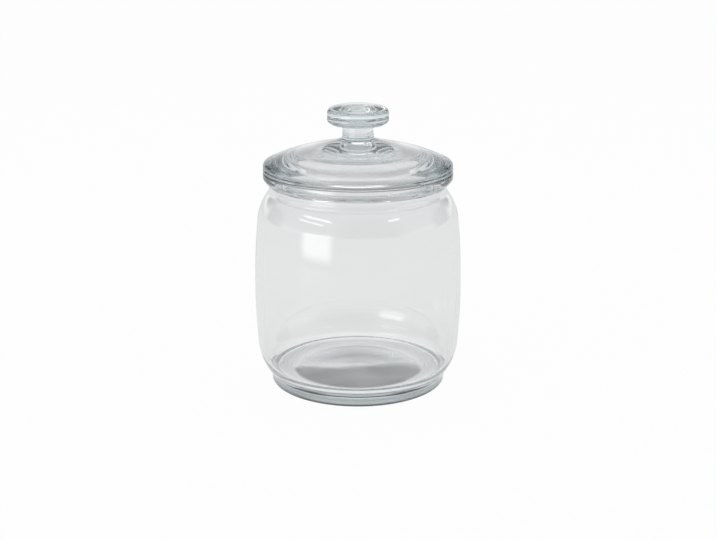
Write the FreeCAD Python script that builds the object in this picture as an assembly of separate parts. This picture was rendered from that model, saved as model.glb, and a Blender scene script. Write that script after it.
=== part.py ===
import FreeCAD, Part
import math
import os
from collections import namedtuple

# Glass storage jar with a loose glass lid, in millimetres, standing on Z = 0 with its axis on Z.
#   jar   one pressed glass body: foot, barrel, shoulder, neck cove and rim bead
#   lid   one pressed glass piece: domed plate, plug that hangs in the neck, stem and round knob
#   seal  clear soft skirt with fins that grips the plug from outside and hangs below it in the neck
# The lid hangs by its flange on the rim. The plug's foot stands on the ledge inside the seal.

# ---- Jar: overall sizes ----
RIM_HEIGHT = 145.6          # top of the glass rim
BODY_RADIUS = 70.0          # widest point of the barrel
BELLY_HEIGHT = 74.6         # height of the widest point
WALL = 3.2                  # glass thickness of the barrel and neck
MOUTH_RADIUS = 56.0         # bore of the neck

# ---- Jar: foot and base ----
FOOT_INSET = 10.6           # how far the foot stands inside the barrel
FOOT_HEIGHT = 6.0           # foot to the crease under the barrel
HEEL_ROUND = 2.4            # lower outer edge of the foot
HIP_HEIGHT = 19.6           # corner where the base curve turns into the barrel
HIP_INSET = 2.0
HIP_ROUND = 33.0
BEARING_WIDTH = 15.0        # flat ring that the jar stands on
PUSH_UP = 5.5               # rise of the dished underside, a shallow cone with a rounded middle
PUSH_UP_FLAT = 3.0          # where the cone's line meets the level of its middle
PUSH_UP_ROUND = 33.0
FLOOR_THICKNESS = 10.0      # glass under the flat of the chamber, above Z = 0
FLOOR_ROUND = 15.0          # inside corner between floor and wall

# ---- Jar: shoulder, neck and rim, measured down from the rim ----
BARREL_BULGE = 1.1          # how far the barrel's side lines meet outside its widest point
SHOULDER_DROP = 22.1
SHOULDER_INSET = 3.65
SHOULDER_ROUND = 28.0
COVE_DROP = 13.1
COVE_ROUND = 5.1
BEAD_UNDERSIDE_DROP = 8.8
BEAD_FACE_DROP = 4.9
BEAD_OVERHANG = 4.0         # bead beyond the outside of the neck
BEAD_ROUND = 3.5
RIM_ROUND = 1.4

# ---- Lid: plate ----
LID_OVERHANG = -0.1         # flange beyond the bead
LID_EDGE_HEIGHT = 5.5       # flange side, from the rim to the dome's edge
LID_EDGE_ROUND = 2.2
LID_UNDER_ROUND = 1.0
DOME_KNEE_RADIUS = 44.9     # the two flats that the dome's curve follows
DOME_KNEE_RISE = 7.9
DOME_KNEE_ROUND = 110.0
DOME_TOP_RADIUS = 22.4
DOME_TOP_RISE = 4.7
DOME_TOP_ROUND = 60.0
PLATE_THICKNESS = 6.2       # glass at the middle of the plate

# ---- Lid: plug ----
PLUG_DEPTH = 7.5            # below the rim
PLUG_WALL = 5.0
PLUG_DRAFT = 3.0            # the hollow narrows by this much towards the plate
PLUG_CLEARANCE = 3.0        # plug to the bore; the seal fills this space
PLUG_ROOT_ROUND = 0.8       # corner between the plug and the flange, outside
PLUG_FOOT_ROUND = 0.7
HOLLOW_ROUND = 10.0         # corner between the plug and the plate, inside

# ---- Lid: stem and knob ----
STEM_RADIUS = 9.9           # narrowest part of the stem
STEM_FOOT_RADIUS = 10.7
STEM_FOOT_RISE = 3.2        # crease at the stem's foot above the dome's top corner
STEM_HEIGHT = 9.0           # from that crease to the knob
STEM_TOP_ROUND = 1.0
KNOB_RADIUS = 20.3
KNOB_UNDER_RADIUS = 16.9    # underside is flat out to here
KNOB_UNDER_RISE = 0.3
KNOB_UNDER_ROUND = 1.6
KNOB_CHAMFER_RISE = 2.2
KNOB_SIDE = 8.6
KNOB_LOW_ROUND = 2.1
KNOB_TOP_RADIUS = 14.0
KNOB_TOP_RISE = 1.7
KNOB_TOP_ROUND = 3.5
KNOB_FACE_ROUND = 12.0
KNOB_CROWN = 1.0

# ---- Seal ring ----
SEAL_SLACK = 0.1            # plug to the sleeve
SEAL_SLEEVE = 0.9           # thickness of the sleeve
SEAL_DEPTH = 17.6           # foot of the sleeve below the rim
SEAL_LEDGE_WIDTH = 3.1      # ledge inside the sleeve, under the plug's foot
SEAL_LEDGE_THICKNESS = 1.0
SEAL_FIN_COUNT = 3
SEAL_FIN_THICKNESS = 1.0
SEAL_FIN_DROOP = 0.6        # tip of a fin below its root
SEAL_FIN_GAP = 0.15         # fin tips to the bore
SEAL_HEADROOM = 4.9         # top of the sleeve below the rim
SEAL_ROUND = 0.25

TINY = 1e-6                 # a side or a round shorter than this is left out

Corner = namedtuple("Corner", "r z round", defaults=(0.0,))


# ---- Sections and revolved solids ----
def point(r, z):
    """A point of a half section, in the XZ plane."""
    return FreeCAD.Vector(r, 0.0, z)


def tangent_arc(start, corner, end):
    """Arc from start to end that is tangent to the two sides that meet at the corner."""
    inward = (start + end) * 0.5 - corner
    taken = (start - corner).Length
    radius = taken * (end - start).Length / 2.0 / inward.Length
    depth = math.hypot(taken, radius) - radius
    return Part.Arc(start, corner + inward.normalize() * depth, end).toShape()


def half_section(corners):
    """Closed face of a half section: straight sides between corners, each corner with its own round.

    Where two rounds ask for more than the side between them, both shrink in proportion.
    """
    count = len(corners)
    points = [point(c.r, c.z) for c in corners]
    before = [points[i - 1] for i in range(count)]
    after = [points[(i + 1) % count] for i in range(count)]
    turns = [(p - b).getAngle(a - p) for b, p, a in zip(before, points, after)]
    wanted = [c.round * math.tan(turn / 2.0) for c, turn in zip(corners, turns)]
    fits = []
    for i in range(count):
        asked = wanted[i] + wanted[(i + 1) % count]
        fits.append(min(1.0, (after[i] - points[i]).Length / max(asked, TINY)))
    taken = [wanted[i] * min(fits[i - 1], fits[i]) for i in range(count)]
    starts = [p + (b - p).normalize() * t for p, b, t in zip(points, before, taken)]
    ends = [p + (a - p).normalize() * t for p, a, t in zip(points, after, taken)]
    edges = []
    for i in range(count):
        next_start = starts[(i + 1) % count]
        if taken[i] > TINY:
            edges.append(tangent_arc(starts[i], points[i], ends[i]))
        if (next_start - ends[i]).Length > TINY:
            edges.append(Part.LineSegment(ends[i], next_start).toShape())
    return Part.Face(Part.Wire(edges))


def turned(corners):
    """Solid of revolution of a half section about Z."""
    return half_section(corners).revolve(point(0, 0), FreeCAD.Vector(0, 0, 1), 360)


def crown(radius, edge_z, top_z):
    """Corner whose round is the single arc from the axis at top_z to a circle at edge_z."""
    rise = abs(top_z - edge_z)
    square = radius ** 2 + rise ** 2
    return Corner(square / (2.0 * radius), top_z, square / (2.0 * rise))


def inset(corners, distance):
    """The inner corners of a wall: each side moved to its left by distance, rounds kept concentric."""
    moved = []
    for a, b in zip(corners, corners[1:]):
        length = math.hypot(b.r - a.r, b.z - a.z)
        across = (-(b.z - a.z) / length * distance, (b.r - a.r) / length * distance)
        moved.append(((a.r + across[0], a.z + across[1]), (b.r - a.r, b.z - a.z)))
    inner = []
    for corner, (p, u), (q, v) in zip(corners[1:], moved, moved[1:]):
        cross = u[0] * v[1] - u[1] * v[0]
        along = ((q[0] - p[0]) * v[1] - (q[1] - p[1]) * v[0]) / cross
        change = -distance if cross > 0 else distance
        inner.append(Corner(p[0] + u[0] * along, p[1] + u[1] * along, corner.round + change))
    return inner


# ---- Jar ----
FOOT_RADIUS = BODY_RADIUS - FOOT_INSET
NECK_RADIUS = MOUTH_RADIUS + WALL
BEAD_RADIUS = NECK_RADIUS + BEAD_OVERHANG


def barrel_radius():
    """Round of the barrel's corner that brings its widest point to BODY_RADIUS."""
    low = (BODY_RADIUS - HIP_INSET, HIP_HEIGHT)
    mid = (BODY_RADIUS + BARREL_BULGE, BELLY_HEIGHT)
    high = (BODY_RADIUS - SHOULDER_INSET, RIM_HEIGHT - SHOULDER_DROP)
    up = math.atan2(mid[0] - low[0], mid[1] - low[1])
    lean = math.atan2(mid[0] - high[0], high[1] - mid[1])
    half_turn = (up + lean) / 2.0
    # the widest point of the round lies on its radius that runs square to the axis
    off_axis = (up - lean) / 2.0
    return BARREL_BULGE / (math.cos(off_axis) / math.cos(half_turn) - 1.0)


def jar_outside():
    """Outer corners from the crease over the foot up to the underside of the bead."""
    return [
        Corner(FOOT_RADIUS, FOOT_HEIGHT),
        Corner(BODY_RADIUS - HIP_INSET, HIP_HEIGHT, HIP_ROUND),
        Corner(BODY_RADIUS + BARREL_BULGE, BELLY_HEIGHT, barrel_radius()),
        Corner(BODY_RADIUS - SHOULDER_INSET, RIM_HEIGHT - SHOULDER_DROP, SHOULDER_ROUND),
        Corner(NECK_RADIUS, RIM_HEIGHT - COVE_DROP, COVE_ROUND),
        Corner(NECK_RADIUS, RIM_HEIGHT - BEAD_UNDERSIDE_DROP),
    ]


def make_jar():
    """Foot, barrel, shoulder, neck and bead with the chamber inside, one solid."""
    outside = jar_outside()
    inside = inset(outside, WALL)
    hip = inside[0]
    first, second = outside[0], outside[1]
    # the floor meets the line of the base wall, moved in by the wall
    lean = (second.r - first.r) / (second.z - first.z)
    floor_corner = Corner(hip.r - (hip.z - FLOOR_THICKNESS) * lean, FLOOR_THICKNESS, FLOOR_ROUND)
    dish_radius = FOOT_RADIUS - HEEL_ROUND - BEARING_WIDTH
    corners = [Corner(0, PUSH_UP), Corner(PUSH_UP_FLAT, PUSH_UP, PUSH_UP_ROUND)]
    corners += [Corner(dish_radius, 0), Corner(FOOT_RADIUS, 0, HEEL_ROUND)]
    corners += outside
    corners += [
        Corner(BEAD_RADIUS, RIM_HEIGHT - BEAD_FACE_DROP, BEAD_ROUND),
        Corner(BEAD_RADIUS, RIM_HEIGHT, RIM_ROUND),
        Corner(MOUTH_RADIUS, RIM_HEIGHT, RIM_ROUND),
    ]
    corners += list(reversed(inside))
    corners += [floor_corner, Corner(0, FLOOR_THICKNESS)]
    return turned(corners)


# ---- Lid ----
FLANGE_RADIUS = BEAD_RADIUS + LID_OVERHANG
DOME_EDGE = RIM_HEIGHT + LID_EDGE_HEIGHT
DOME_KNEE = DOME_EDGE + DOME_KNEE_RISE
DOME_TOP = DOME_KNEE + DOME_TOP_RISE
STEM_FOOT = DOME_TOP + STEM_FOOT_RISE
KNOB_UNDER = STEM_FOOT + STEM_HEIGHT
PLUG_RADIUS = MOUTH_RADIUS - PLUG_CLEARANCE
PLUG_FOOT = RIM_HEIGHT - PLUG_DEPTH


def make_lid():
    """Domed plate with its plug, stem and knob, one solid."""
    side_low = KNOB_UNDER + KNOB_UNDER_RISE + KNOB_CHAMFER_RISE
    side_high = side_low + KNOB_SIDE
    knob_face = side_high + KNOB_TOP_RISE
    hollow_radius = PLUG_RADIUS - PLUG_WALL
    ceiling_edge = DOME_KNEE - PLATE_THICKNESS
    ceiling_top = DOME_TOP + STEM_FOOT_RISE / 2.0 - PLATE_THICKNESS
    corners = [
        Corner(0, ceiling_top),
        crown(hollow_radius - PLUG_DRAFT, ceiling_edge, ceiling_top),
        Corner(hollow_radius - PLUG_DRAFT, ceiling_edge, HOLLOW_ROUND),
        Corner(hollow_radius, PLUG_FOOT, PLUG_FOOT_ROUND),
        Corner(PLUG_RADIUS, PLUG_FOOT, PLUG_FOOT_ROUND),
        Corner(PLUG_RADIUS, RIM_HEIGHT, PLUG_ROOT_ROUND),
        Corner(FLANGE_RADIUS, RIM_HEIGHT, LID_UNDER_ROUND),
        Corner(FLANGE_RADIUS, DOME_EDGE, LID_EDGE_ROUND),
        Corner(DOME_KNEE_RADIUS, DOME_KNEE, DOME_KNEE_ROUND),
        Corner(DOME_TOP_RADIUS, DOME_TOP, DOME_TOP_ROUND),
        Corner(STEM_FOOT_RADIUS, STEM_FOOT),
        Corner(STEM_RADIUS, KNOB_UNDER, STEM_TOP_ROUND),
        Corner(KNOB_UNDER_RADIUS, KNOB_UNDER + KNOB_UNDER_RISE, KNOB_UNDER_ROUND),
        Corner(KNOB_RADIUS, side_low, KNOB_LOW_ROUND),
        Corner(KNOB_RADIUS, side_high, KNOB_TOP_ROUND),
        Corner(KNOB_TOP_RADIUS, knob_face, KNOB_FACE_ROUND),
        crown(KNOB_TOP_RADIUS, knob_face, knob_face + KNOB_CROWN),
        Corner(0, knob_face + KNOB_CROWN),
    ]
    return turned(corners)


# ---- Seal ----
def make_seal():
    """Sleeve round the plug with a ledge under its foot and drooping fins towards the bore, one solid."""
    inner = PLUG_RADIUS + SEAL_SLACK
    sleeve = inner + SEAL_SLEEVE
    tip = MOUTH_RADIUS - SEAL_FIN_GAP
    bottom = RIM_HEIGHT - SEAL_DEPTH
    top = RIM_HEIGHT - SEAL_HEADROOM
    corners = [Corner(inner, bottom), Corner(sleeve, bottom)]
    lowest_root = bottom + SEAL_FIN_DROOP
    pitch = (top - SEAL_FIN_THICKNESS - lowest_root) / (SEAL_FIN_COUNT - 1)
    for i in range(SEAL_FIN_COUNT):
        root = lowest_root + pitch * i
        corners += [
            Corner(sleeve, root),
            Corner(tip, root - SEAL_FIN_DROOP, SEAL_ROUND),
            Corner(tip, root - SEAL_FIN_DROOP + SEAL_FIN_THICKNESS, SEAL_ROUND),
            Corner(sleeve, root + SEAL_FIN_THICKNESS),
        ]
    ledge = inner - SEAL_LEDGE_WIDTH
    corners += [
        Corner(inner, top),
        Corner(inner, PLUG_FOOT),
        Corner(ledge, PLUG_FOOT, SEAL_ROUND),
        Corner(ledge, PLUG_FOOT - SEAL_LEDGE_THICKNESS, SEAL_ROUND),
        Corner(inner, PLUG_FOOT - SEAL_LEDGE_THICKNESS),
    ]
    return turned(corners)


def main():
    os.makedirs("parts", exist_ok=True)
    pieces = {"jar": make_jar(), "lid": make_lid(), "seal": make_seal()}
    for name, solid in pieces.items():
        box = solid.optimalBoundingBox()
        print(f"{name}: {solid.Volume / 1000:.1f} cm3, valid {solid.isValid()}")
        print(f"    radius {box.XMax:.2f}, Z {box.ZMin:.2f} to {box.ZMax:.2f}")
        solid.exportStep(f"parts/{name}.step")


main()
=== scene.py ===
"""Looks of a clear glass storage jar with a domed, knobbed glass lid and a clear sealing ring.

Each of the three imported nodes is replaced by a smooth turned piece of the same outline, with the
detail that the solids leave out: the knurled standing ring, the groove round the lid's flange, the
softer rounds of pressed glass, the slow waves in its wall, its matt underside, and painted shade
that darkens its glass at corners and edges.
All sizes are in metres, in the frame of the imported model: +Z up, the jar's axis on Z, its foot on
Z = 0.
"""

from __future__ import annotations

import logging
import math
from dataclasses import dataclass
from enum import Enum

import bmesh
import bpy
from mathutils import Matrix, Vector


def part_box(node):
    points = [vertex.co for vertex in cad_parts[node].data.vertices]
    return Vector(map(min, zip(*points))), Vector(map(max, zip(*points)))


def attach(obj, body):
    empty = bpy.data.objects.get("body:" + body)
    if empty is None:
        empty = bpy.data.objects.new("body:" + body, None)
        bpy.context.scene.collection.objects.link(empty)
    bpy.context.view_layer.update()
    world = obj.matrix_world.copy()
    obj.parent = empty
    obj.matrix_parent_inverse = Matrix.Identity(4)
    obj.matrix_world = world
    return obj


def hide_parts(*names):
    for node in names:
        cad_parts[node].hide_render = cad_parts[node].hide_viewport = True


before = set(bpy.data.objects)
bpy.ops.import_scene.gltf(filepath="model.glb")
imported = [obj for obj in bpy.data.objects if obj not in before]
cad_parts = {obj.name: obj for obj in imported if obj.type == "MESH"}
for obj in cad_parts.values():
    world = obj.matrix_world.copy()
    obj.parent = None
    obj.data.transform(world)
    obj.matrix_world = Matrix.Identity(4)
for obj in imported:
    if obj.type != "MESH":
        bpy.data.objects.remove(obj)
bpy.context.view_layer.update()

log = logging.getLogger("glass_jar")
MM = 0.001
TOUCH = 1e-7  # metres below which two points are one
NEARLY_ALL = 0.99999  # share of a side that a round takes, so that it keeps its end point


# --------------------------------------------------------------------------------------------------
# Turned sections
# --------------------------------------------------------------------------------------------------


@dataclass(frozen=True)
class Corner:
    """A corner of a half section, with the radius of its round and the facets of that round."""

    r: float
    z: float
    round: float = 0.0
    facets: int = 6


class Section:
    """A half section in the XZ plane: straight sides, with corners rounded by a vertex bevel."""

    def __init__(self, corners: list[Corner], closed: bool = False, run: float = 3 * MM) -> None:
        """Lay out the corners and round them.

        Args:
            corners: the corners in order round the section.
            closed: True where the last corner joins the first.
            run: longest straight side left undivided.
        """
        self.mesh = bmesh.new()
        self.closed = closed
        verts = [self.mesh.verts.new((c.r, 0.0, c.z)) for c in corners]
        for start, end in zip(verts, verts[1:]):
            self.mesh.edges.new((start, end))
        if closed:
            self.mesh.edges.new((verts[-1], verts[0]))
        for corner, take in zip(corners, self._takes(corners)):
            if take > TOUCH:
                self._round(corner, take)
        self._divide(run)

    def _takes(self, corners: list[Corner]) -> list[float]:
        """Length of side that each round takes, limited where two rounds meet.

        Args:
            corners: the corners in order.

        Returns:
            One length for each corner.
        """
        count = len(corners)
        factors, spans = [], []
        for i, corner in enumerate(corners):
            before, after = corners[i - 1], corners[(i + 1) % count]
            back = Vector((corner.r - before.r, corner.z - before.z))
            ahead = Vector((after.r - corner.r, after.z - corner.z))
            spans.append(ahead.length)
            at_end = not self.closed and i in (0, count - 1)
            factors.append(0.0 if at_end else math.tan(back.angle(ahead) / 2.0))
        wanted = [c.round * f for c, f in zip(corners, factors)]
        takes = list(wanted)
        for i in range(count):
            for span, other in ((spans[i - 1], wanted[i - 1]), (spans[i], wanted[(i + 1) % count])):
                if wanted[i] + other > span and wanted[i] > 0.0:
                    takes[i] = min(takes[i], span * wanted[i] / (wanted[i] + other))
        return takes

    def _round(self, corner: Corner, take: float) -> None:
        """Replace one corner by an arc.

        Args:
            corner: the corner to round.
            take: length of side that the arc replaces.
        """
        place = Vector((corner.r, 0.0, corner.z))
        nearest = min(self.mesh.verts, key=lambda v: (v.co - place).length)
        bmesh.ops.bevel(
            self.mesh,
            geom=[nearest],
            offset=take * NEARLY_ALL,
            offset_type="OFFSET",
            segments=corner.facets,
            profile=0.5,
            affect="VERTICES",
            material=-1,
        )

    def _divide(self, run: float) -> None:
        """Divide long straight sides, so that the turned faces stay near square.

        Args:
            run: longest side left undivided.
        """
        for edge in list(self.mesh.edges):
            cuts = int(edge.calc_length() / run)
            if cuts:
                bmesh.ops.subdivide_edges(self.mesh, edges=[edge], cuts=cuts)

    def turn(self, steps: int) -> bmesh.types.BMesh:
        """Spin the section once round Z and close it.

        Args:
            steps: faces round the turn.

        Returns:
            The closed mesh, with outward normals.
        """
        bmesh.ops.spin(
            self.mesh,
            geom=self.mesh.verts[:] + self.mesh.edges[:],
            cent=(0.0, 0.0, 0.0),
            axis=(0.0, 0.0, 1.0),
            dvec=(0.0, 0.0, 0.0),
            angle=math.tau,
            steps=steps,
            use_merge=True,
            use_duplicate=False,
        )
        bmesh.ops.remove_doubles(self.mesh, verts=self.mesh.verts[:], dist=TOUCH)
        bmesh.ops.recalc_face_normals(self.mesh, faces=self.mesh.faces[:])
        return self.mesh


def crown(radius: float, edge_z: float, top_z: float, facets: int = 16) -> Corner:
    """Corner whose round is one arc from the axis at top_z to the circle at edge_z.

    Args:
        radius: radius of the circle.
        edge_z: height of the circle.
        top_z: height on the axis.
        facets: facets of the arc.

    Returns:
        The corner.
    """
    rise = abs(top_z - edge_z)
    square = radius ** 2 + rise ** 2
    return Corner(square / (2.0 * radius), top_z, square / (2.0 * rise), facets)


def inset(corners: list[Corner], distance: float) -> list[Corner]:
    """Inner corners of a wall: each side moved to its left, rounds kept concentric.

    Args:
        corners: outer corners, going up.
        distance: thickness of the wall.

    Returns:
        The inner corners, without the two ends.
    """
    sides = []
    for a, b in zip(corners, corners[1:]):
        along = Vector((b.r - a.r, b.z - a.z))
        across = Vector((-along.y, along.x)).normalized() * distance
        sides.append((Vector((a.r, a.z)) + across, along))
    inner = []
    for corner, (p, u), (q, v) in zip(corners[1:], sides, sides[1:]):
        cross = u.x * v.y - u.y * v.x
        step = ((q.x - p.x) * v.y - (q.y - p.y) * v.x) / cross
        meet = p + u * step
        change = -distance if cross > 0 else distance
        inner.append(Corner(meet.x, meet.y, corner.round + change, corner.facets))
    return inner


def finish_piece(
    mesh: bmesh.types.BMesh, name: str, node: str, material: bpy.types.Material
) -> bpy.types.Object:
    """Make the object of a piece, hand it to the frame and report it.

    Args:
        mesh: the finished mesh, which is freed.
        name: name of the new piece.
        node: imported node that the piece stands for.
        material: finish of the piece.

    Returns:
        The object, riding on the one body.
    """
    data = bpy.data.meshes.new(name)
    mesh.to_mesh(data)
    mesh.free()
    data.materials.append(material)
    data.polygons.foreach_set("use_smooth", [True] * len(data.polygons))
    piece = bpy.data.objects.new(name, data)
    bpy.context.scene.collection.objects.link(piece)
    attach(piece, "root")
    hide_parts(node)
    log.info("%s: %d faces, for node %s", name, len(data.polygons), node)
    return piece


# --------------------------------------------------------------------------------------------------
# Nodes
# --------------------------------------------------------------------------------------------------


class Calc(Enum):
    """Sums used on numbers in the node trees."""

    ADD = "ADD"
    SUBTRACT = "SUBTRACT"
    MULTIPLY = "MULTIPLY"
    DIVIDE = "DIVIDE"
    POWER = "POWER"
    MAXIMUM = "MAXIMUM"
    PINGPONG = "PINGPONG"


Term = bpy.types.NodeSocket | float


class Wiring:
    """A node tree under construction: makes nodes, joins them, and adds sums and soft steps."""

    def __init__(self, tree: bpy.types.NodeTree) -> None:
        """Take up a tree.

        Args:
            tree: the tree of a material, a lamp, the world or a group.
        """
        self.tree = tree

    def node(self, kind: str, **fields: str) -> bpy.types.Node:
        """Add a node.

        Args:
            kind: the node's type.
            fields: its options, such as operation.

        Returns:
            The node.
        """
        node = self.tree.nodes.new(kind)
        for name, value in fields.items():
            setattr(node, name, value)
        return node

    def feed(self, slot: bpy.types.NodeSocket, term: Term) -> None:
        """Give an input its value.

        Args:
            slot: the input.
            term: a socket to join to it, or a fixed value.
        """
        if isinstance(term, bpy.types.NodeSocket):
            self.tree.links.new(term, slot)
        else:
            slot.default_value = term

    def math(self, operation: Calc, *terms: Term) -> bpy.types.NodeSocket:
        """Add a sum on numbers.

        Args:
            operation: what to work out.
            terms: sockets or fixed values, in order.

        Returns:
            The result.
        """
        node = self.node("ShaderNodeMath", operation=operation.value)
        for slot, term in zip(node.inputs, terms):
            self.feed(slot, term)
        return node.outputs[0]

    def smooth(
        self, value: bpy.types.NodeSocket, low: float, high: float, start: float, end: float
    ) -> bpy.types.NodeSocket:
        """Add a soft step.

        Args:
            value: the number that it follows.
            low: where the step begins.
            high: where the step ends.
            start: result before the step.
            end: result after the step.

        Returns:
            The result.
        """
        node = self.node("ShaderNodeMapRange", interpolation_type="SMOOTHSTEP")
        values = {"Value": value, "From Min": low, "From Max": high, "To Min": start, "To Max": end}
        for name, term in values.items():
            self.feed(node.inputs[name], term)
        return node.outputs["Result"]

    def choose(self, factor: bpy.types.NodeSocket, off: Term, on: Term) -> bpy.types.NodeSocket:
        """Add a choice between two numbers.

        Args:
            factor: 0 for the first number, 1 for the second.
            off: the first number.
            on: the second number.

        Returns:
            The result.
        """
        node = self.node("ShaderNodeMix", data_type="FLOAT")
        for name, term in (("Factor", factor), ("A", off), ("B", on)):
            self.feed(node.inputs[name], term)
        return node.outputs["Result"]

    def toward(
        self, direction: bpy.types.NodeSocket, aim: tuple[float, float, float]
    ) -> bpy.types.NodeSocket:
        """Add a measure of how near one direction points to another.

        Args:
            direction: the direction that changes.
            aim: the fixed direction, of any length.

        Returns:
            1 where both are the same, -1 where they are opposite.
        """
        node = self.node("ShaderNodeVectorMath", operation="DOT_PRODUCT")
        node.inputs[1].default_value = Vector(aim).normalized()
        self.tree.links.new(direction, node.inputs[0])
        return node.outputs["Value"]

    def noise(
        self, vector: bpy.types.NodeSocket, scale: float, detail: float
    ) -> bpy.types.NodeSocket:
        """Add a cloudy pattern.

        Args:
            vector: the place that it follows.
            scale: clouds to the metre.
            detail: how much finer structure it has.

        Returns:
            A number that wanders round a half.
        """
        node = self.node("ShaderNodeTexNoise")
        for name, term in (("Vector", vector), ("Scale", scale), ("Detail", detail)):
            self.feed(node.inputs[name], term)
        return node.outputs[0]

    def off_axis(self, place: bpy.types.Node) -> bpy.types.NodeSocket:
        """Add the distance from the Z axis.

        Args:
            place: a node that gives X and Y.

        Returns:
            The distance.
        """
        squares = [self.math(Calc.POWER, place.outputs[axis], 2.0) for axis in ("X", "Y")]
        return self.math(Calc.POWER, self.math(Calc.ADD, *squares), 0.5)


class NodeGroup(Wiring):
    """A shared node group under construction, with named numbers in and out."""

    def __init__(self, name: str) -> None:
        """Start a group that knows its place on the piece.

        Args:
            name: name of the group.
        """
        super().__init__(bpy.data.node_groups.new(name, "ShaderNodeTree"))
        self.inlet = self.node("NodeGroupInput")
        self.outlet = self.node("NodeGroupOutput")
        self.point = self.node("ShaderNodeTexCoord").outputs["Object"]
        self.place = self.node("ShaderNodeSeparateXYZ")
        self.feed(self.place.inputs[0], self.point)

    def value_in(self, name: str, default: float) -> bpy.types.NodeSocket:
        """Add a number to the group's inputs.

        Args:
            name: name of the input.
            default: its value where it is not set.

        Returns:
            The socket inside the group.
        """
        slot = self.tree.interface.new_socket(name, in_out="INPUT", socket_type="NodeSocketFloat")
        slot.default_value = default
        return self.inlet.outputs[name]

    def value_out(self, name: str, source: bpy.types.NodeSocket) -> None:
        """Add a number to the group's outputs.

        Args:
            name: name of the output.
            source: the socket inside the group that feeds it.
        """
        self.tree.interface.new_socket(name, in_out="OUTPUT", socket_type="NodeSocketFloat")
        self.feed(self.outlet.inputs[name], source)


def place_group(
    wiring: Wiring, group: bpy.types.NodeTree, values: dict[str, float]
) -> bpy.types.Node:
    """Place a shared group in a material.

    Args:
        wiring: the material's nodes.
        group: the group.
        values: the group's inputs.

    Returns:
        The node that holds the group.
    """
    node = wiring.node("ShaderNodeGroup")
    node.node_tree = group
    for name, value in values.items():
        node.inputs[name].default_value = value
    return node


# --------------------------------------------------------------------------------------------------
# Finishes
# --------------------------------------------------------------------------------------------------


@dataclass(frozen=True)
class PaintedCreaseShade:
    """A ring round the axis of painted shade: the glass colour is darkened at a corner or edge.

    It shows on the outer face only, unless both_sides is set.
    """

    radius: float
    height: float
    reach: float
    depth: float
    both_sides: bool = False

    @staticmethod
    def group(full_shade: float = 0.35) -> bpy.types.NodeTree:
        """The shared group that paints shade on one ring: 1 away from it, less on it.

        Args:
            full_shade: share of the ring's reach that has its full shade.

        Returns:
            The group.
        """
        made = bpy.data.node_groups.get("crease_shade")
        if made:
            return made
        group = NodeGroup("crease_shade")
        radius, height = group.value_in("Radius", 50 * MM), group.value_in("Height", 0.0)
        reach, depth = group.value_in("Reach", 1 * MM), group.value_in("Depth", 0.5)
        out = group.math(Calc.SUBTRACT, group.off_axis(group.place), radius)
        up = group.math(Calc.SUBTRACT, group.place.outputs["Z"], height)
        squares = [group.math(Calc.MULTIPLY, side, side) for side in (out, up)]
        distance = group.math(Calc.POWER, group.math(Calc.ADD, *squares), 0.5)
        away = group.math(Calc.DIVIDE, distance, reach)
        near = group.smooth(away, full_shade, 1.0, 1.0, 0.0)
        lost = group.math(Calc.MULTIPLY, near, depth)
        group.value_out("Light", group.math(Calc.SUBTRACT, 1.0, lost))
        return group.tree

    def add(self, wiring: Wiring, inner_face: bpy.types.NodeSocket) -> bpy.types.NodeSocket:
        """Add this ring to a material.

        Args:
            wiring: the material's nodes.
            inner_face: 1 where the surface is met from inside the glass.

        Returns:
            The painted shade: 1 away from the ring, less on it.
        """
        values = {
            "Radius": self.radius,
            "Height": self.height,
            "Reach": self.reach,
            "Depth": self.depth,
        }
        light = place_group(wiring, self.group(), values).outputs["Light"]
        return light if self.both_sides else wiring.math(Calc.MAXIMUM, light, inner_face)


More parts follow.
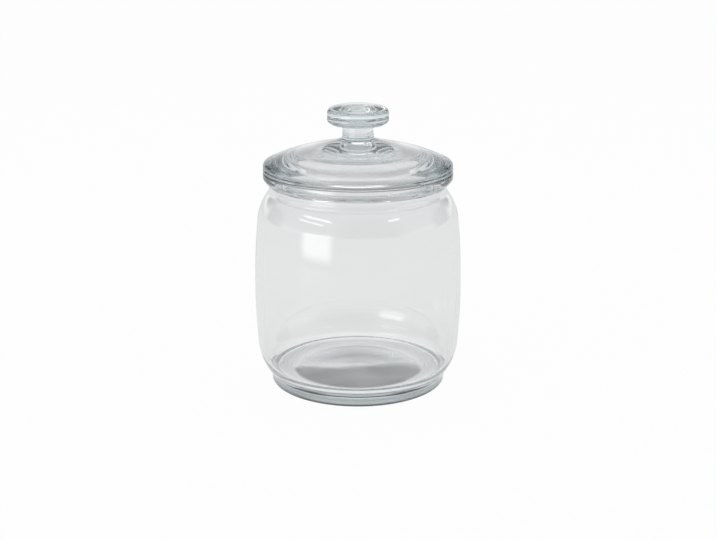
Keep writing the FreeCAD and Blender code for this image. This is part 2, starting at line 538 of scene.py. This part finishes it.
@dataclass(frozen=True)
class Grain:
    """Marks of pressing: slow waves, faint dull spots, a cloudy skin and a matt underside."""

    wave: float = 0.02 * MM
    dullness: float = 0.02
    cloudiness: float = 0.0
    matt: float = 0.0
    matt_top: float = 6 * MM
    matt_reach: float = 57 * MM

    @staticmethod
    def group() -> bpy.types.NodeTree:
        """The shared group, which gives a height in metres and a roughness.

        Returns:
            The group.
        """
        made = bpy.data.node_groups.get("pressed_grain")
        if made:
            return made
        waves_to_the_metre, waves_upright, spots_to_the_metre = 24.0, 1.6, 60.0
        spots = (0.5, 0.75)
        edge_in, edge_down = 1.0 * MM, 0.4 * MM
        group = NodeGroup("pressed_grain")
        wave, dullness = group.value_in("Wave", 0.02 * MM), group.value_in("Dullness", 0.02)
        cloudiness, matt = group.value_in("Cloudiness", 0.0), group.value_in("Matt", 0.0)
        matt_top = group.value_in("Matt Top", 6 * MM)
        matt_reach = group.value_in("Matt Reach", 57 * MM)
        stretch = group.node("ShaderNodeMapping")
        stretch.inputs["Scale"].default_value = (1.0, 1.0, waves_upright)
        group.feed(stretch.inputs["Vector"], group.point)
        waves = group.noise(stretch.outputs[0], waves_to_the_metre, detail=1.0)
        group.value_out("Height", group.math(Calc.MULTIPLY, waves, wave))
        cloud = group.noise(group.point, spots_to_the_metre, detail=4.0)
        dull = group.smooth(cloud, *spots, 0.0, 1.0)
        inside = group.math(Calc.SUBTRACT, matt_reach, group.off_axis(group.place))
        below = group.math(Calc.SUBTRACT, matt_top, group.place.outputs["Z"])
        under = group.math(
            Calc.MULTIPLY,
            group.smooth(inside, 0.0, edge_in, 0.0, 1.0),
            group.smooth(below, 0.0, edge_down, 0.0, 1.0),
        )
        skin = group.math(Calc.ADD, group.math(Calc.MULTIPLY, dull, dullness), cloudiness)
        base = group.math(Calc.MULTIPLY, under, matt)
        group.value_out("Roughness", group.math(Calc.MAXIMUM, skin, base))
        return group.tree

    def add(self, wiring: Wiring, shader: bpy.types.Node) -> None:
        """Give a material these marks.

        Args:
            wiring: the material's nodes.
            shader: its surface shader.
        """
        values = {
            "Wave": self.wave,
            "Dullness": self.dullness,
            "Cloudiness": self.cloudiness,
            "Matt": self.matt,
            "Matt Top": self.matt_top,
            "Matt Reach": self.matt_reach,
        }
        grain = place_group(wiring, self.group(), values)
        wiring.feed(shader.inputs["Roughness"], grain.outputs["Roughness"])
        bump = wiring.node("ShaderNodeBump")
        bump.inputs["Distance"].default_value = 1.0
        wiring.feed(bump.inputs["Height"], grain.outputs["Height"])
        wiring.feed(shader.inputs["Normal"], bump.outputs["Normal"])


@dataclass(frozen=True)
class ClearFinish:
    """A clear material: surface, marks of pressing, what a path through it absorbs, painted shade."""

    name: str
    ior: float
    tint: tuple[float, float, float]
    grain: Grain
    depth_tint: tuple[float, float, float] = (1.0, 1.0, 1.0)
    density: float = 0.0
    painted_shade_rings: tuple[PaintedCreaseShade, ...] = ()

    def material(self) -> bpy.types.Material:
        """Build the material.

        Returns:
            The new material.
        """
        material = bpy.data.materials.new(self.name)
        material.use_nodes = True
        wiring = Wiring(material.node_tree)
        shader = material.node_tree.nodes["Principled BSDF"]
        shader.inputs["Base Color"].default_value = (*self.tint, 1.0)
        shader.inputs["IOR"].default_value = self.ior
        shader.inputs["Transmission Weight"].default_value = 1.0
        self.grain.add(wiring, shader)
        # painted shade: the rings darken the base colour at corners and edges, in place of real shade
        if self.painted_shade_rings:
            inner_face = wiring.node("ShaderNodeNewGeometry").outputs["Backfacing"]
            light, *others = [shade_ring.add(wiring, inner_face) for shade_ring in self.painted_shade_rings]
            for other in others:
                light = wiring.math(Calc.MULTIPLY, light, other)
            wiring.feed(shader.inputs["Base Color"], light)
        if self.density:
            absorption = wiring.node("ShaderNodeVolumeAbsorption")
            absorption.inputs["Color"].default_value = (*self.depth_tint, 1.0)
            absorption.inputs["Density"].default_value = self.density
            output = material.node_tree.nodes["Material Output"]
            wiring.feed(output.inputs["Volume"], absorption.outputs["Volume"])
        return material


def pressed_glass(
    name: str, density: float, matt: float, painted_shade_rings: tuple[PaintedCreaseShade, ...]
) -> ClearFinish:
    """Clear pressed glass, faintly blue in its depth.

    Args:
        name: name of the material.
        density: how strongly its depth tints.
        matt: roughness of the underside.
        painted_shade_rings: its rings of painted shade.

    Returns:
        The finish.
    """
    return ClearFinish(
        name,
        ior=1.52,
        tint=(1.0, 1.0, 1.0),
        grain=Grain(matt=matt),
        depth_tint=(0.76, 0.88, 0.91),
        density=density,
        painted_shade_rings=painted_shade_rings,
    )


def soft_plastic(name: str) -> ClearFinish:
    """Clear soft plastic, a little cloudy, with faint moulding marks.

    Args:
        name: name of the material.

    Returns:
        The finish.
    """
    grain = Grain(wave=0.01 * MM, dullness=0.08, cloudiness=0.08)
    return ClearFinish(name, ior=1.02, tint=(0.985, 0.985, 0.99), grain=grain)


# --------------------------------------------------------------------------------------------------
# Jar
# --------------------------------------------------------------------------------------------------


@dataclass
class JarBody:
    """The pressed glass body: knurled foot, barrel, shoulder, neck cove, rim bead and chamber."""

    rim_height: float
    body_radius: float
    belly_height: float = 74.6 * MM
    wall: float = 3.2 * MM
    mouth_radius: float = 56.0 * MM
    foot_inset: float = 10.6 * MM
    foot_height: float = 6.0 * MM
    crease_round: float = 3.5 * MM
    heel_round: float = 2.4 * MM
    hip_height: float = 19.6 * MM
    hip_inset: float = 2.0 * MM
    hip_round: float = 33.0 * MM
    bearing_width: float = 15.0 * MM
    bearing_round: float = 0.3 * MM
    push_up: float = 5.5 * MM
    push_up_flat: float = 3.0 * MM
    push_up_round: float = 33.0 * MM
    floor_thickness: float = 10.0 * MM
    floor_round: float = 15.0 * MM
    knurl_teeth: int = 160
    facets_to_a_tooth: int = 3
    knurl_depth: float = 0.32 * MM
    knurl_height: float = 1.6 * MM
    knurl_fade: float = 1.5 * MM
    knurl_from: float = 45.0 * MM
    knurl_to: float = 59.6 * MM
    barrel_bulge: float = 1.1 * MM
    shoulder_drop: float = 22.1 * MM
    shoulder_inset: float = 3.65 * MM
    shoulder_round: float = 28.0 * MM
    cove_drop: float = 13.1 * MM
    cove_round: float = 5.1 * MM
    bead_underside_drop: float = 8.8 * MM
    bead_underside_round: float = 0.4 * MM
    bead_face_drop: float = 4.9 * MM
    bead_overhang: float = 4.0 * MM
    bead_round: float = 3.5 * MM
    rim_round: float = 1.4 * MM
    lid_gap: float = 0.12 * MM
    run: float = 5.0 * MM

    @property
    def foot_radius(self) -> float:
        """Radius of the foot's side."""
        return self.body_radius - self.foot_inset

    @property
    def bead_radius(self) -> float:
        """Radius of the rim's bead."""
        return self.mouth_radius + self.wall + self.bead_overhang

    def barrel_round(self) -> float:
        """Round of the barrel's corner that brings its widest point to the body's radius.

        Returns:
            The radius of the round.
        """
        low = Vector((self.body_radius - self.hip_inset, self.hip_height))
        middle = Vector((self.body_radius + self.barrel_bulge, self.belly_height))
        high = Vector((self.body_radius - self.shoulder_inset, self.rim_height - self.shoulder_drop))
        up = math.atan2(middle.x - low.x, middle.y - low.y)
        lean = math.atan2(middle.x - high.x, high.y - middle.y)
        return self.barrel_bulge / (math.cos((up - lean) / 2.0) / math.cos((up + lean) / 2.0) - 1.0)

    def outside(self) -> list[Corner]:
        """Outer corners from the crease over the foot up to the underside of the bead.

        Returns:
            The corners, going up.
        """
        body, neck, rim = self.body_radius, self.mouth_radius + self.wall, self.rim_height
        shoulder = body - self.shoulder_inset
        return [
            Corner(self.foot_radius, self.foot_height, self.crease_round, facets=6),
            Corner(body - self.hip_inset, self.hip_height, self.hip_round, facets=12),
            Corner(body + self.barrel_bulge, self.belly_height, self.barrel_round(), facets=20),
            Corner(shoulder, rim - self.shoulder_drop, self.shoulder_round, facets=12),
            Corner(neck, rim - self.cove_drop, self.cove_round, facets=8),
            Corner(neck, rim - self.bead_underside_drop, self.bead_underside_round, facets=3),
        ]

    def section(self) -> Section:
        """The half section, from the underside's middle round to the chamber's floor.

        Returns:
            The section.
        """
        outside = self.outside()
        inside = inset(outside, self.wall)
        hip, first, second = inside[0], outside[0], outside[1]
        lean = (second.r - first.r) / (second.z - first.z)
        floor_radius = hip.r - (hip.z - self.floor_thickness) * lean
        dish = self.foot_radius - self.heel_round - self.bearing_width
        top = self.rim_height - self.lid_gap
        bead_face = self.rim_height - self.bead_face_drop
        return Section([
            Corner(0.0, self.push_up),
            Corner(self.push_up_flat, self.push_up, self.push_up_round, facets=8),
            Corner(dish, 0.0, self.bearing_round, facets=2),
            Corner(self.knurl_from, 0.0),
            Corner(self.foot_radius, 0.0, self.heel_round, facets=6),
            *outside,
            Corner(self.bead_radius, bead_face, self.bead_round, facets=8),
            Corner(self.bead_radius, top, self.rim_round, facets=6),
            Corner(self.mouth_radius, top, self.rim_round, facets=6),
            *reversed(inside),
            Corner(floor_radius, self.floor_thickness, self.floor_round, facets=10),
            Corner(0.0, self.floor_thickness),
        ], run=self.run)

    def knurl(self, mesh: bmesh.types.BMesh) -> None:
        """Cut radial grooves into the ring that the jar stands on.

        Args:
            mesh: the turned body, with a whole number of facets for each tooth.
        """
        for vert in mesh.verts:
            radius = math.hypot(vert.co.x, vert.co.y)
            if vert.co.z > self.knurl_height or not self.knurl_from < radius < self.knurl_to:
                continue
            turn = math.atan2(vert.co.y, vert.co.x) * self.knurl_teeth
            fade_in = (radius - self.knurl_from) / self.knurl_fade
            fade_up = max(0.0, 1.0 - vert.co.z / self.knurl_height)
            depth = self.knurl_depth * min(1.0, fade_in, fade_up)
            vert.co.z += depth * (0.5 - 0.5 * math.cos(turn))

    def painted_shade_rings(self) -> tuple[PaintedCreaseShade, ...]:
        """Rings of painted shade: at the seam under the lid, over the foot and at the heel's edge.

        Returns:
            The rings.
        """
        foot = self.foot_radius
        return (
            PaintedCreaseShade(self.bead_radius, self.rim_height - 0.5 * MM, reach=0.8 * MM, depth=0.9),
            PaintedCreaseShade(foot + 1.1 * MM, self.foot_height + 1.9 * MM, reach=1.0 * MM, depth=0.97),
            PaintedCreaseShade(foot - 0.5 * MM, 1.0 * MM, reach=2.2 * MM, depth=0.97),
        )

    def build(self) -> bpy.types.Object:
        """Turn the section and dress it.

        Returns:
            The finished piece.
        """
        mesh = self.section().turn(self.knurl_teeth * self.facets_to_a_tooth)
        self.knurl(mesh)
        glass = pressed_glass("clear_glass", density=6.0, matt=0.3, painted_shade_rings=self.painted_shade_rings())
        return finish_piece(mesh, "jar_glass", "jar", glass.material())


# --------------------------------------------------------------------------------------------------
# Lid
# --------------------------------------------------------------------------------------------------


@dataclass
class Lid:
    """The pressed glass lid: domed plate, grooved flange, plug, stem and round knob."""

    rim_height: float
    mouth_radius: float = 56.0 * MM
    flange_radius: float = 63.1 * MM
    edge_height: float = 5.5 * MM
    edge_round: float = 3.4 * MM
    under_round: float = 0.8 * MM
    groove_height: float = 2.6 * MM
    groove_depth: float = 0.7 * MM
    groove_half: float = 0.7 * MM
    groove_low_round: float = 0.5 * MM
    groove_root_round: float = 0.2 * MM
    groove_high_round: float = 0.8 * MM
    knee_radius: float = 44.9 * MM
    knee_rise: float = 7.9 * MM
    knee_round: float = 110.0 * MM
    dome_top_radius: float = 22.4 * MM
    dome_top_rise: float = 4.7 * MM
    dome_top_round: float = 60.0 * MM
    plate_thickness: float = 6.2 * MM
    plug_depth: float = 7.5 * MM
    plug_wall: float = 5.0 * MM
    plug_draft: float = 3.0 * MM
    plug_clearance: float = 3.0 * MM
    plug_root_round: float = 0.8 * MM
    plug_foot_round: float = 2.3 * MM
    hollow_round: float = 10.0 * MM
    stem_radius: float = 9.9 * MM
    stem_foot_radius: float = 10.7 * MM
    stem_foot_rise: float = 3.2 * MM
    stem_foot_round: float = 0.3 * MM
    stem_height: float = 9.0 * MM
    stem_top_round: float = 1.0 * MM
    knob_radius: float = 20.3 * MM
    knob_under_radius: float = 16.9 * MM
    knob_under_rise: float = 0.3 * MM
    knob_chamfer_rise: float = 2.2 * MM
    knob_side: float = 8.6 * MM
    knob_low_round: float = 2.1 * MM
    knob_top_radius: float = 14.0 * MM
    knob_top_rise: float = 1.7 * MM
    knob_under_round: float = 1.6 * MM
    knob_top_round: float = 3.5 * MM
    knob_face_round: float = 12.0 * MM
    knob_crown: float = 1.0 * MM
    run: float = 2.0 * MM
    steps: int = 256

    @property
    def knee_height(self) -> float:
        """Height of the plate's knee."""
        return self.rim_height + self.edge_height + self.knee_rise

    @property
    def stem_foot_height(self) -> float:
        """Height of the stem's foot."""
        return self.knee_height + self.dome_top_rise + self.stem_foot_rise

    @property
    def knob_low_height(self) -> float:
        """Height of the lower edge of the knob's side."""
        knob_under = self.stem_foot_height + self.stem_height
        return knob_under + self.knob_under_rise + self.knob_chamfer_rise

    @property
    def hollow_radius(self) -> float:
        """Radius of the hollow at the plug's foot."""
        return self.mouth_radius - self.plug_clearance - self.plug_wall

    def section(self) -> Section:
        """The half section, from the hollow's ceiling out round the flange to the knob's crown.

        Returns:
            The section.
        """
        rim, knee = self.rim_height, self.knee_height
        dome_top = knee + self.dome_top_rise
        stem_top = self.stem_foot_height + self.stem_height
        knob_under = stem_top + self.knob_under_rise
        side_high = self.knob_low_height + self.knob_side
        knob_face = side_high + self.knob_top_rise
        plug = self.mouth_radius - self.plug_clearance
        plug_foot = rim - self.plug_depth
        hollow_top = self.hollow_radius - self.plug_draft
        ceiling_edge = knee - self.plate_thickness
        ceiling_top = dome_top + self.stem_foot_rise / 2.0 - self.plate_thickness
        groove = rim + self.groove_height
        groove_root = self.flange_radius - self.groove_depth
        return Section([
            Corner(0.0, ceiling_top),
            crown(hollow_top, ceiling_edge, ceiling_top),
            Corner(hollow_top, ceiling_edge, self.hollow_round, facets=10),
            Corner(self.hollow_radius, plug_foot, self.plug_foot_round, facets=4),
            Corner(plug, plug_foot, self.plug_foot_round, facets=4),
            Corner(plug, rim, self.plug_root_round, facets=3),
            Corner(self.flange_radius, rim, self.under_round, facets=5),
            Corner(self.flange_radius, groove - self.groove_half, self.groove_low_round, facets=4),
            Corner(groove_root, groove, self.groove_root_round, facets=3),
            Corner(self.flange_radius, groove + self.groove_half, self.groove_high_round, facets=4),
            Corner(self.flange_radius, rim + self.edge_height, self.edge_round, facets=6),
            Corner(self.knee_radius, knee, self.knee_round, facets=14),
            Corner(self.dome_top_radius, dome_top, self.dome_top_round, facets=10),
            Corner(self.stem_foot_radius, self.stem_foot_height, self.stem_foot_round, facets=3),
            Corner(self.stem_radius, stem_top, self.stem_top_round, facets=5),
            Corner(self.knob_under_radius, knob_under, self.knob_under_round, facets=5),
            Corner(self.knob_radius, self.knob_low_height, self.knob_low_round, facets=6),
            Corner(self.knob_radius, side_high, self.knob_top_round, facets=6),
            Corner(self.knob_top_radius, knob_face, self.knob_face_round, facets=8),
            crown(self.knob_top_radius, knob_face, knob_face + self.knob_crown),
            Corner(0.0, knob_face + self.knob_crown),
        ], run=self.run)

    def painted_shade_rings(self) -> tuple[PaintedCreaseShade, ...]:
        """Rings of painted shade: under the flange, at the stem's foot, under the knob and inside the
        plug.

        Returns:
            The rings.
        """
        foot, knob = self.stem_foot_height, self.knob_low_height
        inside, above = self.hollow_radius - 0.5 * MM, self.rim_height + 1.5 * MM
        return (
            PaintedCreaseShade(self.flange_radius, self.rim_height + 0.1 * MM, reach=0.7 * MM, depth=0.9),
            PaintedCreaseShade(self.stem_foot_radius, foot, reach=0.6 * MM, depth=0.9),
            PaintedCreaseShade(self.stem_foot_radius + 1.7 * MM, foot - 0.6 * MM, reach=2.2 * MM, depth=0.5),
            PaintedCreaseShade(self.knob_radius - 0.2 * MM, knob - 0.2 * MM, reach=1.3 * MM, depth=0.55),
            PaintedCreaseShade(inside, above, reach=5.0 * MM, depth=0.5, both_sides=True),
        )

    def build(self) -> bpy.types.Object:
        """Turn the section and dress it.

        Returns:
            The finished piece.
        """
        mesh = self.section().turn(self.steps)
        glass = pressed_glass("lid_glass", density=9.0, matt=0.0, painted_shade_rings=self.painted_shade_rings())
        return finish_piece(mesh, "lid_glass", "lid", glass.material())


# --------------------------------------------------------------------------------------------------
# Seal
# --------------------------------------------------------------------------------------------------


@dataclass
class SealRing:
    """The clear soft sleeve round the plug: a ledge under its foot and fins that droop to the bore."""

    low: float
    high: float
    tip_radius: float
    plug_foot: float
    plug_radius: float = 53.0 * MM
    ledge_width: float = 3.1 * MM
    ledge_thickness: float = 1.0 * MM
    slack: float = 0.1 * MM
    lift: float = 0.05 * MM
    sleeve: float = 0.9 * MM
    fin_count: int = 3
    fin_thickness: float = 1.0 * MM
    fin_droop: float = 0.6 * MM
    round: float = 0.25 * MM
    round_facets: int = 3
    steps: int = 256

    def rounded(self, r: float, z: float) -> Corner:
        """A corner with the ring's own small round."""
        return Corner(r, z, self.round, self.round_facets)

    def section(self) -> Section:
        """The closed half section of sleeve, fins and ledge.

        Returns:
            The section.
        """
        inner = self.plug_radius + self.slack
        outer = inner + self.sleeve
        low = self.low + self.lift
        corners = [self.rounded(inner, low), self.rounded(outer, low)]
        root_low = low + self.fin_droop
        pitch = (self.high - self.fin_thickness - root_low) / (self.fin_count - 1)
        for i in range(self.fin_count):
            root = root_low + pitch * i
            tip = root - self.fin_droop
            corners += [
                self.rounded(outer, root),
                self.rounded(self.tip_radius, tip),
                self.rounded(self.tip_radius, tip + self.fin_thickness),
                self.rounded(outer, root + self.fin_thickness),
            ]
        ledge = inner - self.ledge_width
        ledge_top = self.plug_foot - self.lift
        corners += [
            self.rounded(inner, self.high),
            Corner(inner, ledge_top),
            self.rounded(ledge, ledge_top),
            self.rounded(ledge, ledge_top - self.ledge_thickness),
            Corner(inner, ledge_top - self.ledge_thickness),
        ]
        return Section(corners, closed=True)

    def build(self) -> bpy.types.Object:
        """Turn the section and dress it.

        Returns:
            The finished piece.
        """
        mesh = self.section().turn(self.steps)
        plastic = soft_plastic("clear_seal")
        return finish_piece(mesh, "seal_ring", "seal", plastic.material())


# --------------------------------------------------------------------------------------------------
# Studio
# --------------------------------------------------------------------------------------------------


@dataclass(frozen=True)
class Lamp:
    """A soft panel: its place, its size, how bright its face is and how far its edges fade."""

    name: str
    place: tuple[float, float, float]
    width: float
    height: float
    radiance: float
    edge: float = 0.12

    def build(self, aim: Vector) -> None:
        """Make the lamp, turned to a point.

        Args:
            aim: the point that the panel faces.
        """
        data = bpy.data.lights.new(self.name, "AREA")
        data.shape = "RECTANGLE"
        data.size, data.size_y = self.width, self.height
        data.energy = self.radiance * math.pi * self.width * self.height
        data.use_nodes = True
        wiring = Wiring(data.node_tree)
        across = wiring.node("ShaderNodeSeparateXYZ")
        wiring.feed(across.inputs[0], wiring.node("ShaderNodeNewGeometry").outputs["Parametric"])
        shares = []
        for axis in ("X", "Y"):
            from_edge = wiring.math(Calc.PINGPONG, across.outputs[axis], 0.5)
            shares.append(wiring.smooth(from_edge, 0.0, self.edge, 0.0, 1.0))
        emission = data.node_tree.nodes["Emission"]
        wiring.feed(emission.inputs["Strength"], wiring.math(Calc.MULTIPLY, *shares))
        lamp = bpy.data.objects.new(self.name, data)
        lamp.location = self.place
        lamp.rotation_euler = (aim - Vector(self.place)).to_track_quat("-Z", "Y").to_euler()
        bpy.context.scene.collection.objects.link(lamp)


@dataclass(frozen=True)
class FloorShade:
    """How pale the floor is when seen through the glass: painted shade and painted light, fixed on it.

    A painted pale ring lies under the standing ring. Inside it the floor holds a painted shadow in
    front, with clouds, and is pale behind.
    """

    beyond: float = 0.54
    ring: float = 0.78
    dish_front: float = 0.02
    dish_back: float = 1.0
    ring_fade: tuple[float, float] = (62.0 * MM, 88.0 * MM)
    dish_edge: tuple[float, float] = (42.5 * MM, 45.5 * MM)
    split: tuple[float, float] = (-2.0 * MM, 7.0 * MM)
    split_wander: float = 50.0 * MM
    ripples_to_the_metre: float = 26.0
    ripple_detail: float = 0.5
    cloud_from: float = 0.45
    cloud_gain: float = 0.6

    def group(self) -> bpy.types.NodeTree:
        """The group that works out the painted pale share from the place on the floor.

        Returns:
            The group.
        """
        group = NodeGroup("painted_floor_shade")
        away = group.off_axis(group.place)
        ripple = group.noise(group.point, self.ripples_to_the_metre, self.ripple_detail)
        swing = group.math(Calc.SUBTRACT, ripple, 0.5)
        wander = group.math(Calc.MULTIPLY, swing, self.split_wander)
        edge = group.math(Calc.ADD, group.place.outputs["Y"], wander)
        thick = group.math(Calc.SUBTRACT, ripple, self.cloud_from)
        cloud = group.math(Calc.MULTIPLY, thick, self.cloud_gain)
        front = group.math(Calc.ADD, group.math(Calc.MAXIMUM, cloud, 0.0), self.dish_front)
        behind = group.smooth(edge, *self.split, 0.0, 1.0)
        dish = self.between(group, behind, front, self.dish_back)
        outside = group.smooth(away, *self.dish_edge, 0.0, 1.0)
        ring = group.smooth(away, *self.ring_fade, self.ring, self.beyond)
        group.value_out("Share", self.between(group, outside, dish, ring))
        return group.tree

    @staticmethod
    def between(
        group: NodeGroup, share: bpy.types.NodeSocket, first: Term, second: Term
    ) -> bpy.types.NodeSocket:
        """Add a blend of two numbers.

        Args:
            group: the group under construction.
            share: 0 for the first, 1 for the second.
            first: the first number.
            second: the second number.

        Returns:
            The result.
        """
        rise = group.math(Calc.MULTIPLY, share, group.math(Calc.SUBTRACT, second, first))
        return group.math(Calc.ADD, first, rise)


@dataclass
class Studio:
    """Pale floor, plain to the camera and with painted shade and light seen through the glass; soft
    lamps, a pale surround and the camera.
    """

    lens_mm: float = 63.45
    sensor_mm: float = 36.0
    distance: float = 824.0 * MM
    height: float = 317.0 * MM
    pitch_deg: float = 16.28
    floor_size: float = 60.0
    floor_gap: float = 0.1 * MM
    floor_colour: tuple[float, float, float] = (0.95, 0.95, 0.95)
    floor_glow: float = 0.97
    floor_shade: FloorShade = FloorShade()
    surround_tint: tuple[float, float, float] = (0.98, 0.982, 1.0)
    dark_side: tuple[float, float, float] = (0.26, -0.95, 0.14)
    dark_spread: tuple[float, float] = (0.62, 0.94)
    dark_light: float = 0.1
    climb: tuple[float, float] = (0.05, 0.28)
    climb_light: tuple[float, float] = (0.95, 0.485)
    flags: tuple[tuple[float, float, float], ...] = (
        (-0.55, 0.80, 0.38),
        (0.55, 0.80, 0.38),
        (-0.90, 0.40, 0.12),
        (0.90, 0.40, 0.12),
    )
    flag_spread: tuple[float, float] = (0.94, 0.985)
    flag_light: float = 0.25
    lamp_aim: tuple[float, float, float] = (0.0, 0.0, 0.09)
    lamps: tuple[Lamp, ...] = (
        Lamp("key", (-0.42, -0.42, 0.10), 0.46, 0.18, 2.2, edge=0.25),
        Lamp("left", (-0.98, -0.70, 1.0), 1.0, 0.12, 3.4),
        Lamp("left_low", (-1.02, -0.62, 0.72), 0.8, 0.08, 2.6),
        Lamp("right", (0.88, -0.80, 1.0), 0.35, 0.12, 3.2),
        Lamp("top", (0.0, 0.3, 1.4), 1.0, 0.9, 1.0),
    )
    clear_bounces: int = 32
    glossy_bounces: int = 16

    def camera(self) -> None:
        """Place the camera in front of the jar, looking slightly down."""
        data = bpy.data.cameras.new("camera")
        data.lens = self.lens_mm
        data.sensor_width = self.sensor_mm
        camera = bpy.data.objects.new("camera", data)
        camera.location = (0.0, -self.distance, self.height)
        camera.rotation_euler = (math.radians(90.0 - self.pitch_deg), 0.0, 0.0)
        bpy.context.scene.collection.objects.link(camera)
        bpy.context.scene.camera = camera

    def floor_material(self) -> bpy.types.Material:
        """Pale floor, white to the camera, with painted shade and painted light where it is seen
        through the glass, that keeps the jar's cast shadow.

        Returns:
            The new material.
        """
        material = bpy.data.materials.new("studio_floor")
        material.use_nodes = True
        wiring = Wiring(material.node_tree)
        nodes = material.node_tree.nodes
        nodes.remove(nodes["Principled BSDF"])
        diffuse = wiring.node("ShaderNodeBsdfDiffuse")
        diffuse.inputs["Color"].default_value = (*self.floor_colour, 1.0)
        glow = wiring.node("ShaderNodeEmission")
        glow.inputs["Strength"].default_value = 1.0
        # painted shade and painted light on the floor under the jar, seen only through the glass
        shade = place_group(wiring, self.floor_shade.group(), {}).outputs["Share"]
        seen = wiring.node("ShaderNodeLightPath").outputs["Is Camera Ray"]
        mix = wiring.node("ShaderNodeMixShader")
        sources = (wiring.choose(seen, shade, self.floor_glow), diffuse.outputs[0], glow.outputs[0])
        for slot, source in zip(mix.inputs, sources):
            wiring.feed(slot, source)
        wiring.feed(nodes["Material Output"].inputs["Surface"], mix.outputs[0])
        return material

    def floor(self) -> None:
        """Lay a wide floor just under the jar."""
        mesh = bmesh.new()
        bmesh.ops.create_grid(mesh, x_segments=1, y_segments=1, size=self.floor_size / 2.0)
        bmesh.ops.translate(mesh, vec=(0.0, 0.0, -self.floor_gap), verts=mesh.verts[:])
        data = bpy.data.meshes.new("floor")
        mesh.to_mesh(data)
        mesh.free()
        data.materials.append(self.floor_material())
        floor = bpy.data.objects.new("floor", data)
        bpy.context.scene.collection.objects.link(floor)

    def world(self) -> None:
        """A surround white to the camera, dark low down behind the camera and dimmer overhead."""
        world = bpy.data.worlds.new("studio")
        bpy.context.scene.world = world
        world.use_nodes = True
        wiring = Wiring(world.node_tree)
        background = world.node_tree.nodes["Background"]
        background.inputs["Color"].default_value = (*self.surround_tint, 1.0)
        direction = wiring.node("ShaderNodeTexCoord").outputs["Generated"]
        split = wiring.node("ShaderNodeSeparateXYZ")
        wiring.feed(split.inputs[0], direction)
        near_dark = wiring.toward(direction, self.dark_side)
        light = wiring.smooth(near_dark, *self.dark_spread, 1.0, self.dark_light)
        shares = [wiring.smooth(split.outputs["Z"], *self.climb, *self.climb_light)]
        for flag in self.flags:
            near_flag = wiring.toward(direction, flag)
            shares.append(wiring.smooth(near_flag, *self.flag_spread, 1.0, self.flag_light))
        for share in shares:
            light = wiring.math(Calc.MULTIPLY, light, share)
        seen = wiring.node("ShaderNodeLightPath").outputs["Is Camera Ray"]
        wiring.feed(background.inputs["Strength"], wiring.choose(seen, light, 1.0))

    def build(self) -> None:
        """Set up the floor, the surround, the lamps and the camera."""
        self.floor()
        self.world()
        for lamp in self.lamps:
            lamp.build(Vector(self.lamp_aim))
        self.camera()
        scene = bpy.context.scene
        scene.view_settings.view_transform = "Standard"
        scene.cycles.max_bounces = self.clear_bounces
        scene.cycles.transmission_bounces = self.clear_bounces
        scene.cycles.glossy_bounces = self.glossy_bounces


def main() -> None:
    """Build the pieces in order, then the studio."""
    logging.basicConfig(level=logging.INFO, format="%(message)s")
    _, jar_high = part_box("jar")
    lid_low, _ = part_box("lid")
    seal_low, seal_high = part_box("seal")
    JarBody(rim_height=jar_high.z, body_radius=jar_high.x).build()
    Lid(rim_height=jar_high.z).build()
    SealRing(low=seal_low.z, high=seal_high.z, tip_radius=seal_high.x, plug_foot=lid_low.z).build()
    Studio().build()


if __name__ == "__main__":
    main()
